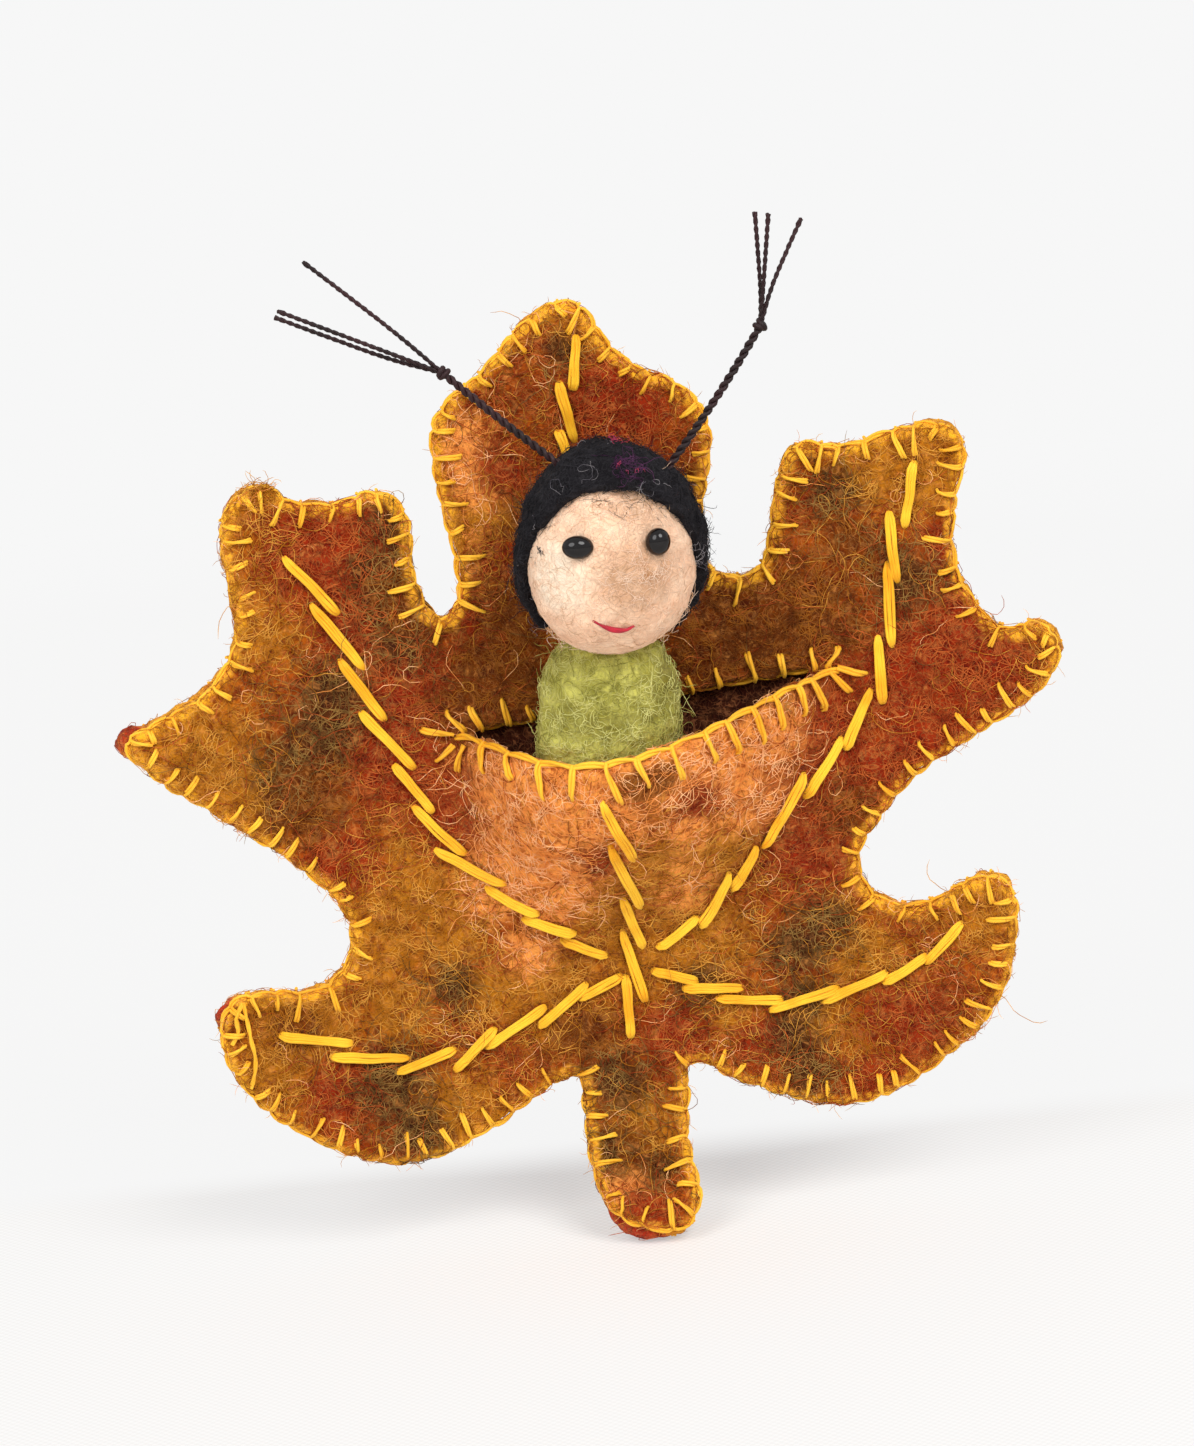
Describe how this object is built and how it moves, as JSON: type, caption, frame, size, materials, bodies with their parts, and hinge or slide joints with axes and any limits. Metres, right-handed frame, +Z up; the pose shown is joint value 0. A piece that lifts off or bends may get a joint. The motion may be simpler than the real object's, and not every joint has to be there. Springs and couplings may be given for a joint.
{
  "type": "felt doll",
  "caption": "Small hooded felt bug doll with thread antennae, sitting in the slit pocket of a stitched maple-leaf felt pouch.",
  "frame": {"origin": "on the flat back face of the leaf, behind the point where its veins meet", "axes": "+X to the right seen from the front, +Y out of the leaf's back, +Z up towards the leaf's tip"},
  "size_m": [0.1163, 0.0261, 0.1293],
  "materials": {
    "front_felt": "mottled rust and ochre wool felt",
    "back_felt": "brick red wool felt",
    "gold_floss": "stranded golden yellow embroidery floss",
    "green_felt": "soft lime green needle felt",
    "skin_felt": "pale peach needle felt",
    "navy_felt": "near-black navy needle felt",
    "bead_glass": "glossy black bead",
    "red_thread": "red sewing thread",
    "dark_thread": "waxed aubergine-black twisted thread"
  },
  "bodies": {
    "leaf": {"back_panel": "back_felt", "front_panel": "front_felt", "edge_stitching": "gold_floss", "slit_stitching": "gold_floss", "vein_top": "gold_floss", "vein_centre": "gold_floss", "vein_upper_left": "gold_floss", "vein_upper_right": "gold_floss", "vein_lower_left": "gold_floss", "vein_lower_right": "gold_floss"},
    "doll": {"torso": "green_felt", "head": "skin_felt", "hood": "navy_felt", "eye_left": "bead_glass", "eye_right": "bead_glass", "mouth_thread": "red_thread"},
    "antenna_left": {"antenna_left_cord": "dark_thread", "antenna_left_knot": "dark_thread", "antenna_left_strand_1": "dark_thread", "antenna_left_strand_2": "dark_thread", "antenna_left_strand_3": "dark_thread"},
    "antenna_right": {"antenna_right_cord": "dark_thread", "antenna_right_knot": "dark_thread", "antenna_right_strand_1": "dark_thread", "antenna_right_strand_2": "dark_thread", "antenna_right_strand_3": "dark_thread"}
  },
  "joints": [
    {"name": "doll_slide", "type": "slide", "parent": "leaf", "child": "doll", "axis": [0.0958, -0.1728, 0.9803], "range_m": [0, 0.022]},
    {"name": "antenna_left_bend", "type": "hinge", "parent": "doll", "child": "antenna_left", "pos_m": [-0.00306, -0.01818, 0.06722], "axis": [1, 0, 0], "range_deg": [-30, 45], "stiffness_Nm_per_rad": 0.0002},
    {"name": "antenna_right_bend", "type": "hinge", "parent": "doll", "child": "antenna_right", "pos_m": [0.01089, -0.01783, 0.06527], "axis": [1, 0, 0], "range_deg": [-30, 45], "stiffness_Nm_per_rad": 0.0002}
  ]
}
